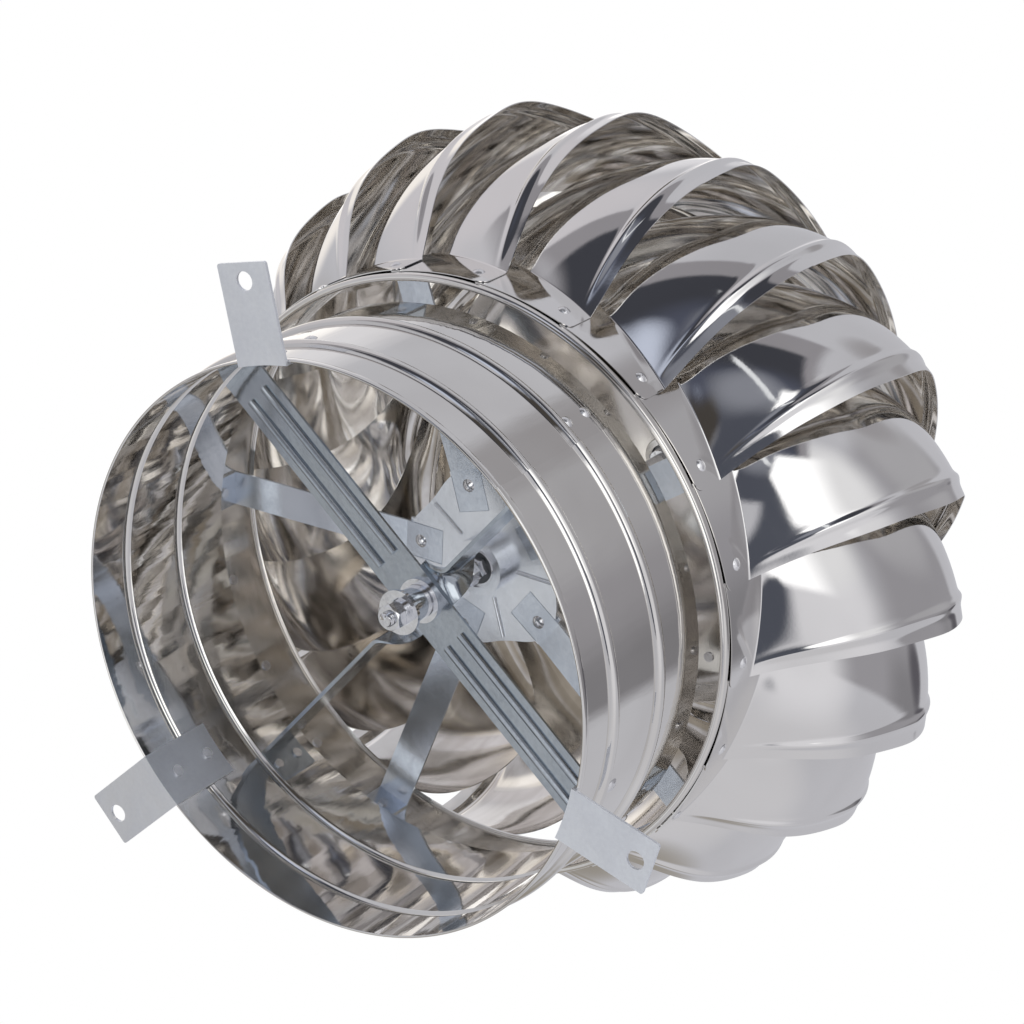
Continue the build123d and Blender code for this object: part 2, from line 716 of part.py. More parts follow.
with BuildPart() as vane_tab_top:
    pl, fo, fi = station(n_st - 1)
    with BuildSketch(pl):
        with BuildLine():
            Spline(fo)
            Line(fo[-1], fi[-1])
            Spline(fi[::-1])
            Line(fi[0], fo[0])
        make_face()
    fo, fi = tab_outline(top_base)
    with BuildSketch(turned(Plane(origin=(0, 0, top_tab_z), x_dir=(0, 1, 0), z_dir=(0, 0, -1)),
                            crown_turn)):
        with BuildLine():
            Spline(fo)
            Line(fo[-1], fi[-1])
            Spline(fi[::-1])
            Line(fi[0], fo[0])
        make_face()
    loft(ruled=True)

# one sheet: the blade and its two tabs are joined along the folds
def same_face(f, g):
    return (f.center() - g.center()).length < 0.05 and abs(f.area - g.area) < 0.1


blade = vane_body.part.solid()
fold_faces = [f for f in blade.faces() if f.geom_type == GeomType.PLANE]
skin = [f for f in blade.faces() if f.geom_type != GeomType.PLANE]
for tab_solid in (vane_tab_low.part.solid(), vane_tab_top.part.solid()):
    skin += [f for f in tab_solid.faces() if not any(same_face(f, g) for g in fold_faces)]
vane_sheet = Solid(Shell(skin))
with BuildPart() as vane_master:
    add(vane_sheet)
    with BuildSketch(radial_plane(150, 0, vane_rivet_z)):
        Circle(riv_r)
    extrude(amount=30, mode=Mode.SUBTRACT)
    with BuildSketch(radial_plane(138, crown_turn, top_rivet_z)):
        Circle(riv_r)
    extrude(amount=12, mode=Mode.SUBTRACT)
print("vane solids", len(vane_master.part.solids()), "volume", round(vane_master.part.volume, 1),
      "valid", vane_master.part.is_valid)

for i, a in enumerate(vane_angles):
    with BuildPart() as vane:
        add(vane_master.part.rotate(Axis.Z, a))
    save(vane.part, "vane_%02d" % (i + 1))

# rivets through the vane feet: short ones, and long ones that also hold the arms
head_low = tab_r(0, bot_base) + vane_t + 0.025
short_r, long_r = [], []
for a in vane_angles:
    is_arm = min(abs((a - b + 180) % 360 - 180) for b in arm_angles) < 0.5
    if is_arm:
        long_r.append(rivet_solid(radial_plane(0, a, vane_rivet_z), head_low, flap_in - 0.03))
    else:
        short_r.append(rivet_solid(radial_plane(0, a, vane_rivet_z), head_low, col_r - col_t - 0.03))
with BuildPart() as vane_rivets:
    add(short_r)
save(group(list(vane_rivets.part.solids()), "vane_rivets"), "vane_rivets")
with BuildPart() as arm_rivets:
    add(long_r)
save(group(list(arm_rivets.part.solids()), "arm_rivets"), "arm_rivets")
head_top = tab_r(0, top_base) + vane_t + 0.03
with BuildPart() as crown_rivets:
    add([rivet_solid(radial_plane(0, a + crown_turn, top_rivet_z), head_top, top_r - top_t - 0.03) for a in vane_angles])
save(group(list(crown_rivets.part.solids()), "crown_rivets"), "crown_rivets")

# ---------------------------------------------------------------- top plate
with BuildPart() as top_plate:
    with BuildSketch(Plane.XZ):
        with BuildLine():
            Polyline((top_r, top_z0), (top_r, top_z1), (11.0, top_z1), (11.0, brg_z[1]),
                     (8.5, brg_z[1]), (8.5, brg_z[1] - 1.5), (12.5, brg_z[1] - 1.5),
                     (12.5, top_z1 - top_t), (top_r - top_t, top_z1 - top_t),
                     (top_r - top_t, top_z0), close=True)
        make_face()
    revolve(axis=Axis.Z)
    # stiffening rings pressed upwards in the disc
    for r in (45.0, 85.0):
        with BuildSketch(Plane.XZ):
            with BuildLine():
                CenterArc((r, top_z1 - 0.01), 2.2, 0, 180)
                Line((r - 2.2, top_z1 - 0.01), (r + 2.2, top_z1 - 0.01))
            make_face()
        revolve(axis=Axis.Z)
    with BuildSketch(Plane.XY.offset(top_z1 - 2)):
        with PolarLocations(cap_rivet_r, 6):
            Circle(2.0)
    extrude(amount=4, mode=Mode.SUBTRACT)
top_part = top_plate.part - [radial_plane(135, a + crown_turn, top_rivet_z) * Pos(0, 0, 6) * Cylinder(riv_r, 12)
                             for a in vane_angles]
save(top_part, "top_plate")

with BuildPart() as top_cap:
    za = top_z1
    rs = ((cap_flange - 4) ** 2 + cap_h ** 2) / (2 * cap_h)
    half_a = math.asin((cap_flange - 4) / rs) / 2
    cz = za + cap_h - rs
    with BuildSketch(Plane.XZ):
        with BuildLine():
            Line((cap_r, za), (cap_r, za + top_t))
            Line((cap_r, za + top_t), (cap_flange - 4, za + top_t))
            ThreePointArc((cap_flange - 4, za + top_t),
                          (rs * math.sin(half_a), cz + rs * math.cos(half_a) + top_t),
                          (0, za + cap_h + top_t))
            Line((0, za + cap_h + top_t), (0, za + cap_h))
            ThreePointArc((0, za + cap_h),
                          (rs * math.sin(half_a), cz + rs * math.cos(half_a)),
                          (cap_flange - 4, za))
            Line((cap_flange - 4, za), (cap_r, za))
        make_face()
    revolve(axis=Axis.Z)
    with BuildSketch(Plane.XY.offset(za - 1)):
        with PolarLocations(cap_rivet_r, 6):
            Circle(2.0)
    extrude(amount=4, mode=Mode.SUBTRACT)
save(top_cap.part, "top_cap")


def cap_rivet(a):
    p = polar(cap_rivet_r, a)
    pl = Plane(origin=(p.X, p.Y, 0), x_dir=(0, 1, 0), z_dir=(0, 0, 1))
    return rivet_solid(pl, top_z1 + top_t, top_z1 - top_t, shank=2.0, head=3.6, hh=1.5,
                       tail=3.0, th=0.9)


with BuildPart() as cap_rivets:
    add([cap_rivet(60.0 * i) for i in range(6)])
save(group(list(cap_rivets.part.solids()), "cap_rivets"), "cap_rivets")
print("parts", len(os.listdir("parts")))
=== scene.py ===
import bpy
import math
import numpy as np
from mathutils import Matrix, Vector


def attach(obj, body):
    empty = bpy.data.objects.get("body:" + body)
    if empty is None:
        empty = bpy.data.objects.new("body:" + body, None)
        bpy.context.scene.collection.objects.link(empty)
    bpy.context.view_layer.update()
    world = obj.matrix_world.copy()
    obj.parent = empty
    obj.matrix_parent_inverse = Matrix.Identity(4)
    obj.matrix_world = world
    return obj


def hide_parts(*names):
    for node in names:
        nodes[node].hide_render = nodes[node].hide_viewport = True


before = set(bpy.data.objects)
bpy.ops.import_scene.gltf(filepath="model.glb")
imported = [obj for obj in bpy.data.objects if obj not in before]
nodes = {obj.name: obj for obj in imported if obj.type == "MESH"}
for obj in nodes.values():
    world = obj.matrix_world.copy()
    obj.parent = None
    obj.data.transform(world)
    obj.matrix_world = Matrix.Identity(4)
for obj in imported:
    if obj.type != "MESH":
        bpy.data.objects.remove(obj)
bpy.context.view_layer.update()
scene = bpy.context.scene

# ------------------------------------------------------------------ dimensions (mm)
NECK_R, NECK_T, NECK_Z0, NECK_Z1 = 150.0, 0.8, 1.5, 105.5
BEADS, BEAD_H, BEAD_W = (28.0, 69.0), 2.6, 3.9
COL_R, COL_T, COL_ROLL_Z, COL_ROLL_R, COL_Z1 = 164.0, 0.8, 109.4, 2.0, 148.0
TOP_R, TOP_T, TOP_Z0, TOP_Z1 = 142.5, 0.8, 304.0, 330.0
CAP_R, CAP_FL, CAP_H = 132.0, 116.0, 17.0
BRG_Z1 = 320.0
VANE_N, VANE_PHASE, VANE_T = 20, 15.27, 0.5
TAB0, TAB1, SHINGLE, FOOT_Z, TOPTAB_Z = -16.0, 3.8, 0.72, 112.0, 326.5
TURN = 30.0
EDGE = [(165.3, 131.5, 3.8), (176.5, 144.5, 2.7), (188.5, 157.5, 1.9),
        (199.5, 171.0, 1.5), (208.8, 186.5, 1.4), (215.4, 203.5, 1.5),
        (219.8, 221.0, 1.9), (222.2, 238.5, 2.4), (219.8, 256.0, 3.0),
        (212.8, 272.5, 4.3), (203.8, 286.5, 6.6), (193.0, 299.0, 10.6),
        (179.5, 309.0, 17.0), (162.5, 315.5, 25.5), (144.6, 319.0, 33.8)]
ROOT = [(164.6, 146.3, -16.0), (169.5, 156.0, -17.8), (174.5, 167.0, -19.3),
        (178.0, 180.0, -20.8), (179.5, 194.0, -22.0), (179.5, 209.5, -22.8),
        (178.0, 225.5, -23.2), (175.5, 241.0, -23.0), (172.5, 255.5, -22.0),
        (169.0, 268.5, -20.0), (165.5, 280.0, -17.0), (161.0, 290.0, -12.3),
        (156.0, 298.0, -5.5), (150.0, 304.5, 4.0), (143.1, 308.0, 14.0)]
BOW, END_BOW, RIB_U, RIB_DU, RIB_H = 9.5, 2.6, 0.89, 0.028, 1.5
ARM_ANGLES = [-2.73 + 72.0 * i for i in range(5)]


# ------------------------------------------------------------------ shader helpers
class Net:
    """Small helper to write node trees."""

    def __init__(self, tree):
        self.t = tree

    def node(self, kind, **kw):
        n = self.t.nodes.new(kind)
        for k, v in kw.items():
            setattr(n, k, v)
        return n

    def link(self, a, b):
        self.t.links.new(a, b)

    def math(self, op, a, b=None, c=None, clamp=False):
        n = self.node("ShaderNodeMath", operation=op, use_clamp=clamp)
        for i, v in enumerate((a, b, c)):
            if v is None:
                continue
            if isinstance(v, (int, float)):
                n.inputs[i].default_value = v
            else:
                self.link(v, n.inputs[i])
        return n.outputs[0]

    def noise(self, vec, scale, detail=2.0, rough=0.5, dist=0.0):
        n = self.node("ShaderNodeTexNoise")
        n.inputs["Scale"].default_value = scale
        n.inputs["Detail"].default_value = detail
        n.inputs["Roughness"].default_value = rough
        n.inputs["Distortion"].default_value = dist
        self.link(vec, n.inputs["Vector"])
        return n.outputs["Fac"]

    def ramp(self, fac, lo, hi, out_lo, out_hi):
        n = self.node("ShaderNodeMapRange")
        n.interpolation_type = "SMOOTHSTEP"
        self.link(fac, n.inputs["Value"])
        n.inputs["From Min"].default_value = lo
        n.inputs["From Max"].default_value = hi
        n.inputs["To Min"].default_value = out_lo
        n.inputs["To Max"].default_value = out_hi
        return n.outputs["Result"]

    def mix(self, fac, a, b):
        n = self.node("ShaderNodeMix", data_type="RGBA")
        if isinstance(fac, (int, float)):
            n.inputs["Factor"].default_value = fac
        else:
            self.link(fac, n.inputs["Factor"])
        for sock, v in ((n.inputs["A"], a), (n.inputs["B"], b)):
            if isinstance(v, tuple):
                sock.default_value = (*v, 1.0)
            else:
                self.link(v, sock)
        return n.outputs["Result"]

    def scaled(self, vec, s):
        n = self.node("ShaderNodeVectorMath", operation="MULTIPLY")
        self.link(vec, n.inputs[0])
        n.inputs[1].default_value = s
        return n.outputs[0]

    def bump(self, height, strength, distance, normal=None):
        n = self.node("ShaderNodeBump")
        n.inputs["Strength"].default_value = strength
        n.inputs["Distance"].default_value = distance
        self.link(height, n.inputs["Height"])
        if normal is not None:
            self.link(normal, n.inputs["Normal"])
        return n.outputs["Normal"]


def material(name):
    m = bpy.data.materials.new(name)
    m.use_nodes = True
    nt = m.node_tree
    nt.nodes.clear()
    net = Net(nt)
    out = net.node("ShaderNodeOutputMaterial")
    b = net.node("ShaderNodeBsdfPrincipled")
    net.link(b.outputs[0], out.inputs[0])
    tc = net.node("ShaderNodeTexCoord")
    return m, net, b, tc.outputs["Object"]


def cylinder_coords(net, obj):
    """Object coordinates pushed onto a unit cylinder round the spin axis: (cos, sin, height)."""
    sep = net.node("ShaderNodeSeparateXYZ")
    net.link(obj, sep.inputs[0])
    ang = net.math("ARCTAN2", sep.outputs["Y"], sep.outputs["X"])
    sx = net.math("COSINE", ang)
    sy = net.math("SINE", ang)
    comb = net.node("ShaderNodeCombineXYZ")
    net.link(sx, comb.inputs[0])
    net.link(sy, comb.inputs[1])
    net.link(sep.outputs["Z"], comb.inputs[2])
    return comb.outputs[0]


def polished(name, tint=(0.80, 0.79, 0.80), dark=(0.70, 0.69, 0.70), wave=0.35,
             rough=(0.05, 0.12), streak=0.0, smears_and_shade=(9.0, 1.0), micro=0.03):
    """Polished stainless sheet: mirror finish, soft dents, faint smudges and rub marks; the tint and dark blend also
    carries the painted shade streaks of the vanes' inner faces.
    """
    m, net, b, obj = material(name)
    # blend between tint and dark: real smudges on most parts, painted shade streaks on the vanes' inner faces
    smear_and_shade = net.noise(net.scaled(obj, (1.0, 1.0, smears_and_shade[1])), smears_and_shade[0], 3.0, 0.55, 0.4)
    net.link(net.mix(net.ramp(smear_and_shade, 0.35, 0.7, 0.0, 1.0), tint, dark), b.inputs["Base Color"])
    b.inputs["Metallic"].default_value = 1.0
    fine = net.noise(net.scaled(obj, (1.0, 1.0, 6.0)), 60.0, 4.0, 0.6)
    net.link(net.ramp(fine, 0.3, 0.75, rough[0], rough[1]), b.inputs["Roughness"])
    soft = net.noise(obj, 14.0, 1.0, 0.4)
    n1 = net.bump(soft, wave, 0.004)
    if streak > 0:
        cyl = cylinder_coords(net, obj)
        st = net.noise(net.scaled(cyl, (4.0, 4.0, 5.0)), 2.6, 2.0, 0.5, 0.25)
        n1 = net.bump(st, streak, 0.006, n1)
    if micro > 0:
        n1 = net.bump(net.noise(net.scaled(obj, (1.0, 1.0, 0.2)), 900.0, 2.0, 0.5), micro, 0.0002, n1)
    net.link(n1, b.inputs["Normal"])
    return m


def plated(name, tint, dark, rough=(0.34, 0.5), metallic=0.9, grain=0.25):
    """Zinc-plated sheet: fine spangle, rub marks and rolling grain."""
    m, net, b, obj = material(name)
    cloud = net.noise(obj, 22.0, 5.0, 0.62)
    grainy = net.noise(net.scaled(obj, (1.0, 1.0, 1.0)), 420.0, 3.0, 0.6)
    f = net.math("ADD", net.math("MULTIPLY", cloud, 0.7), net.math("MULTIPLY", grainy, 0.3))
    net.link(net.mix(net.ramp(f, 0.36, 0.66, 0.0, 1.0), tint, dark), b.inputs["Base Color"])
    b.inputs["Metallic"].default_value = metallic
    net.link(net.ramp(f, 0.35, 0.68, rough[0], rough[1]), b.inputs["Roughness"])
    n1 = net.bump(grainy, grain, 0.0003)
    n2 = net.bump(cloud, 0.15, 0.002, n1)
    net.link(n2, b.inputs["Normal"])
    return m


M_VANE = polished("vane_steel", (0.86, 0.85, 0.84), (0.79, 0.78, 0.77), wave=0.014, rough=(0.045, 0.08))
# inner faces of the vanes: the same steel, rougher, darker and browner, with broad dark streaks painted on as shade for
# the dim reflections inside the blades
M_VANE_IN_PAINTED_SHADE = polished("vane_steel_inside", (0.88, 0.86, 0.83), (0.64, 0.61, 0.57), wave=0.02, rough=(0.07, 0.11),
                     smears_and_shade=(34.0, 0.3), micro=0.0)
M_NECK = polished("neck_steel", (0.85, 0.84, 0.82), (0.77, 0.755, 0.735), wave=0.012, rough=(0.03, 0.06), streak=0.03)
M_COLLAR = polished("collar_steel", (0.85, 0.83, 0.80), (0.78, 0.76, 0.73), wave=0.025, rough=(0.06, 0.11), streak=0.02)
M_TOP = polished("crown_steel", (0.86, 0.84, 0.81), (0.79, 0.77, 0.74), wave=0.02, rough=(0.06, 0.11))
M_ZINC = plated("zinc_sheet", (0.84, 0.87, 0.92), (0.76, 0.79, 0.85), rough=(0.28, 0.40), metallic=0.86, grain=0.12)
M_ARM = plated("zinc_arm", (0.74, 0.79, 0.86), (0.62, 0.67, 0.74), rough=(0.17, 0.27), metallic=0.92, grain=0.08)
M_HUB = plated("zinc_hub", (0.90, 0.93, 0.97), (0.84, 0.87, 0.92), rough=(0.20, 0.27), metallic=0.9, grain=0.02)
M_STRIP = plated("zinc_strip", (0.50, 0.545, 0.59), (0.40, 0.44, 0.49), rough=(0.13, 0.22), metallic=1.0, grain=0.06)
M_RIVET = plated("rivet_aluminium", (0.88, 0.88, 0.89), (0.72, 0.72, 0.74), rough=(0.12, 0.24), grain=0.06)
M_BOLT = plated("bright_plated_steel", (0.88, 0.89, 0.91), (0.70, 0.71, 0.74), rough=(0.10, 0.22), metallic=1.0, grain=0.06)
M_RACE = plated("ground_steel", (0.82, 0.82, 0.83), (0.66, 0.66, 0.67), rough=(0.08, 0.16), metallic=1.0, grain=0.03)
M_SHIELD = plated("shield_sheet", (0.16, 0.165, 0.17), (0.10, 0.105, 0.11), rough=(0.3, 0.45), metallic=0.9, grain=0.1)
M_CAGE = plated("cage_sheet", (0.55, 0.50, 0.38), (0.42, 0.38, 0.28), rough=(0.25, 0.4), metallic=1.0, grain=0.1)


# ------------------------------------------------------------------ mesh helpers
def add_mesh(name, verts, faces, mat, body, replaces=(), sharp=40.0):
    me = bpy.data.meshes.new(name)
    me.from_pydata([tuple(v) for v in np.asarray(verts, float) / 1000.0], [], faces)
    me.validate()
    me.materials.append(mat)
    me.polygons.foreach_set("use_smooth", [True] * len(me.polygons))
    me.set_sharp_from_angle(angle=math.radians(sharp))
    me.update()
    o = bpy.data.objects.new(name, me)
    scene.collection.objects.link(o)
    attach(o, body)
    if replaces:
        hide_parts(*replaces)
    return o


def revolve(profile, seg, offset=None):
    """Closed profile [(r, z)] turned round the axis. offset(angle, r, z) may move a point."""
    n = len(profile)
    verts = []
    for k in range(seg):
        a = 2 * math.pi * k / seg
        c, s = math.cos(a), math.sin(a)
        for r, z in profile:
            if offset is not None:
                r, z = offset(a, r, z)
            verts.append((r * c, r * s, z))
    faces = []
    for k in range(seg):
        k2 = (k + 1) % seg
        for j in range(n):
            j2 = (j + 1) % n
            faces.append((k * n + j, k2 * n + j, k2 * n + j2, k * n + j2))
    return verts, faces


def arc(cr, cz, r, a0, a1, n):
    return [(cr + r * math.cos(math.radians(a0 + (a1 - a0) * i / n)),
             cz + r * math.sin(math.radians(a0 + (a1 - a0) * i / n))) for i in range(n + 1)]


def circle3(p0, p1, p2, n):
    """Points on the arc through three points, ends included."""
    (ax, ay), (bx, by), (cx, cy) = p0, p1, p2
    d = 2 * (ax * (by - cy) + bx * (cy - ay) + cx * (ay - by))
    ux = ((ax * ax + ay * ay) * (by - cy) + (bx * bx + by * by) * (cy - ay) + (cx * cx + cy * cy) * (ay - by)) / d
    uy = ((ax * ax + ay * ay) * (cx - bx) + (bx * bx + by * by) * (ax - cx) + (cx * cx + cy * cy) * (bx - ax)) / d
    r = math.hypot(ax - ux, ay - uy)
    a0, am, a1 = (math.atan2(q[1] - uy, q[0] - ux) for q in (p0, p1, p2))
    while am < a0:
        am += 2 * math.pi
    while a1 < am:
        a1 += 2 * math.pi
    if a1 - a0 > 2 * math.pi:
        a0, am, a1 = (math.atan2(q[1] - uy, q[0] - ux) for q in (p0, p1, p2))
        while am > a0:
            am -= 2 * math.pi
        while a1 > am:
            a1 -= 2 * math.pi
    return [(ux + r * math.cos(a0 + (a1 - a0) * i / n), uy + r * math.sin(a0 + (a1 - a0) * i / n))
            for i in range(n + 1)]


def line(p, q, n):
    return [(p[0] + (q[0] - p[0]) * i / n, p[1] + (q[1] - p[1]) * i / n) for i in range(n)]


# ------------------------------------------------------------------ neck
def neck_side(r, w, up):
    """Wall line with its beads, from the bottom rim up, or down if not up."""
    pts = []
    z = NECK_Z0
    for b in BEADS:
        pts += line((r, z + (0 if z == NECK_Z0 else 0.0)), (r, b - w), 6)
        pts += circle3((r, b - w), (r + BEAD_H, b), (r, b + w), 12)[:-1]
        z = b + w
    pts += line((r, z), (r, NECK_Z1), 6) + [(r, NECK_Z1)]
    return pts if up else pts[::-1]


hem_r = 0.7
neck_profile = neck_side(NECK_R, BEAD_W, True)
# rolled hem at the bottom rim, on the outside
neck_profile = [p for p in neck_profile if p[1] > NECK_Z0 + 5.0]
hem = [(NECK_R - NECK_T, NECK_Z0 + 0.3)] + arc(NECK_R - 0.15, NECK_Z0 + hem_r, hem_r, 200, 360, 8) + \
      [(NECK_R + 0.55, NECK_Z0 + 3.6), (NECK_R + 0.3, NECK_Z0 + 4.1), (NECK_R, NECK_Z0 + 4.3)]
neck_profile = hem + neck_profile + neck_side(NECK_R - NECK_T, BEAD_W - 0.55, False)[:-1]


def lap(a, r, z):
    """Overlap of the sheet at the seam: a step at 55 degrees that fades away."""
    d = math.degrees(a) - 55.0
    if d < -180:
        d += 360
    if 0 <= d < 26 and r > NECK_R - 0.3:
        r += 0.55 * (1 - d / 26.0) ** 1.5
    return r, z


def seam_revolve(profile, seg, at_deg, offset):
    """Revolve with a doubled ring of points at the seam, so that the step is sharp."""
    angles = [2 * math.pi * k / seg for k in range(seg)]
    a0 = math.radians(at_deg)
    angles = sorted([a for a in angles if abs(a - a0) > 0.004] + [a0 - 0.0006, a0 + 0.0001])
    n = len(profile)
    verts = []
    for a in angles:
        c, s = math.cos(a), math.sin(a)
        for r, z in profile:
            r2, z2 = offset(a, r, z)
            verts.append((r2 * c, r2 * s, z2))
    faces = []
    m = len(angles)
    for k in range(m):
        k2 = (k + 1) % m
        for j in range(n):
            j2 = (j + 1) % n
            faces.append((k * n + j, k2 * n + j, k2 * n + j2, k * n + j2))
    return verts, faces


v, f = seam_revolve(neck_profile, 288, 55.0, lap)
neck_obj = add_mesh("throat_tube", v, f, M_NECK, "base", ("neck",))

# ------------------------------------------------------------------ collar
cr = COL_R - COL_ROLL_R
col_profile = arc(cr, COL_ROLL_Z, COL_ROLL_R, 0, -250, 22)
col_profile += arc(cr, COL_ROLL_Z, COL_ROLL_R - COL_T, -250, 0, 16)
col_in = [(COL_R - COL_T, COL_ROLL_Z + 1)] + line((COL_R - COL_T, COL_ROLL_Z + 6), (COL_R - COL_T, COL_Z1 - 2.2), 5)
col_top_in = arc(COL_R - 1.5, COL_Z1 - 0.4, 0.75, 0, 200, 8)[::1]
col_top_out = arc(COL_R - 1.5, COL_Z1 - 0.4, 1.5, 200, 0, 12)
col_out = line((COL_R, COL_Z1 - 2.2), (COL_R, COL_ROLL_Z + 1), 6)
# inner wall up, roll over the top, outer wall down, roll under the foot
loop = [(COL_R - COL_T, COL_ROLL_Z + 0.5)] + line((COL_R - COL_T, COL_ROLL_Z + 4), (COL_R - COL_T, COL_Z1 - 1.6), 6)
loop += [(COL_R - COL_T, COL_Z1 - 0.9)] + arc(COL_R - 1.5, COL_Z1 - 0.4, 0.72, 0, 150, 6)
loop += arc(COL_R - 1.5, COL_Z1 - 0.4, 1.5, 150, 0, 10)
loop += line((COL_R, COL_Z1 - 1.6), (COL_R, COL_ROLL_Z + 0.5), 8)
loop += arc(cr, COL_ROLL_Z, COL_ROLL_R, 0, -255, 20)
loop += arc(cr, COL_ROLL_Z, COL_ROLL_R - COL_T, -255, -5, 16)
v, f = revolve(loop, 256)
collar_obj = add_mesh("collar", v, f, M_COLLAR, "rotor", ("collar_ring",), sharp=50)

# ------------------------------------------------------------------ top plate and cap
tp = [(TOP_R, TOP_Z0)] + line((TOP_R, TOP_Z0 + 1), (TOP_R, TOP_Z1 - 1.2), 4)
tp += arc(TOP_R - 1.2, TOP_Z1 - 1.2, 1.2, 0, 90, 6)
tp += [(95.0, TOP_Z1), (88.0, TOP_Z1)] + circle3((87.2, TOP_Z1), (85.0, TOP_Z1 + 2.15), (82.8, TOP_Z1), 10)
tp += [(80.0, TOP_Z1), (50.0, TOP_Z1)] + circle3((47.2, TOP_Z1), (45.0, TOP_Z1 + 2.15), (42.8, TOP_Z1), 10)
tp += [(40.0, TOP_Z1), (12.2, TOP_Z1), (11.2, TOP_Z1 - 0.6), (11.0, TOP_Z1 - 1.4), (11.0, BRG_Z1 + 0.0),
       (8.5, BRG_Z1), (8.5, BRG_Z1 - 1.5), (12.0, BRG_Z1 - 1.5), (12.5, BRG_Z1 - 1.0), (12.5, TOP_Z1 - TOP_T)]
tp += line((14.0, TOP_Z1 - TOP_T), (TOP_R - 1.4, TOP_Z1 - TOP_T), 8)
tp += arc(TOP_R - 1.2, TOP_Z1 - 1.2, 0.4, 90, 0, 4)
tp += [(TOP_R - TOP_T, TOP_Z1 - 2.0), (TOP_R - TOP_T, TOP_Z0)]
v, f = revolve(tp, 224)
top_obj = add_mesh("crown_plate", v, f, M_TOP, "rotor", ("top_plate",))

rs = ((CAP_FL - 4) ** 2 + CAP_H ** 2) / (2 * CAP_H)
cz = TOP_Z1 + CAP_H - rs
amax = math.asin((CAP_FL - 4) / rs)
cap_out = [(CAP_R, TOP_Z1 + 0.05), (CAP_R, TOP_Z1 + 0.6), (CAP_R - 0.3, TOP_Z1 + TOP_T)]
cap_out += [(CAP_FL + 2, TOP_Z1 + TOP_T), (CAP_FL - 1.5, TOP_Z1 + TOP_T + 0.15)]
dome = [(rs * math.sin(amax * (1 - i / 30.0)), cz + rs * math.cos(amax * (1 - i / 30.0))) for i in range(31)]
cap_loop = cap_out + [(r, z + TOP_T) for r, z in dome[:-1]] + [(0.4, TOP_Z1 + CAP_H + TOP_T)] + \
    [(0.4, TOP_Z1 + CAP_H)] + [(r, z) for r, z in dome[::-1][1:]] + [(CAP_FL, TOP_Z1 + 0.05)]
v, f = revolve(cap_loop, 192)
cap_obj = add_mesh("crown_cap", v, f, M_TOP, "rotor", ("top_cap",))


# ------------------------------------------------------------------ vanes
def polar(r, deg, z):
    a = math.radians(deg)
    return np.array([r * math.cos(a), r * math.sin(a), z])


def tab_r(phi, base):
    return base + 0.06 + SHINGLE * (phi - TAB0) / 18.0


US = np.concatenate([np.linspace(0, 0.80, 17)[:-1], np.linspace(0.80, 0.98, 25)[:-1], np.linspace(0.98, 1.0, 4)])


def station(i):
    """Outer line of the blade's cross-section at station i."""
    if i in (0, len(EDGE) - 1):
        base, turn = (COL_R, 0.0) if i == 0 else (TOP_R, TURN)
        z1, z0 = EDGE[i][1], ROOT[i][1]
        pts = [polar(tab_r(TAB0 + (TAB1 - TAB0) * u, base) + VANE_T, TAB0 + (TAB1 - TAB0) * u, 0) for u in US]
        m = (z1 - z0) / (pts[-1][1] - pts[0][1])
        out = np.array([[p[0], p[1], z1 + m * (p[1] - pts[-1][1])] for p in pts])
        a = math.radians(turn)
        c, s = math.cos(a), math.sin(a)
        return out @ np.array([[c, s, 0], [-s, c, 0], [0, 0, 1]])
    e, r = EDGE[i], ROOT[i]
    p1, p0 = polar(e[0], e[2], e[1]), polar(r[0], r[2], r[1])
    ea, eb = EDGE[i - 1], EDGE[i + 1]
    run = polar(eb[0], eb[2], eb[1]) - polar(ea[0], ea[2], ea[1])
    run /= np.linalg.norm(run)
    L = np.linalg.norm(p1 - p0)
    c = (p1 - p0) / L
    w = run - c * run.dot(c)
    w /= np.linalg.norm(w)
    y = np.cross(w, c)
    if y.dot(np.array([p1[0], p1[1], 0])) < 0:
        y = -y
    fs = math.sin(math.pi * i / (len(EDGE) - 1.0))
    b = END_BOW + (BOW - END_BOW) * fs
    hb = RIB_H * min(1.0, 1.6 * fs)
    return np.array([p1 - c * L * (1 - u) + y * (4 * b * u * (1 - u) + hb * math.exp(-((u - RIB_U) / RIB_DU) ** 2))
                     for u in US])


def spline(t, P, tq):
    """Natural cubic spline through P (n, ...) at t, read at tq."""
    n = len(t)
    h = np.diff(t)
    A = np.zeros((n, n))
    B = np.zeros((n,) + P.shape[1:])
    A[0, 0] = A[-1, -1] = 1
    for k in range(1, n - 1):
        A[k, k - 1], A[k, k], A[k, k + 1] = h[k - 1], 2 * (h[k - 1] + h[k]), h[k]
        B[k] = 6 * ((P[k + 1] - P[k]) / h[k] - (P[k] - P[k - 1]) / h[k - 1])
    M = np.linalg.solve(A, B.reshape(n, -1)).reshape(B.shape)
    out = []
    for q in tq:
        k = int(min(max(np.searchsorted(t, q) - 1, 0), n - 2))
        a, b_ = (t[k + 1] - q) / h[k], (q - t[k]) / h[k]
        out.append(a * P[k] + b_ * P[k + 1] + ((a ** 3 - a) * M[k] + (b_ ** 3 - b_) * M[k + 1]) * h[k] ** 2 / 6)
    return np.array(out)


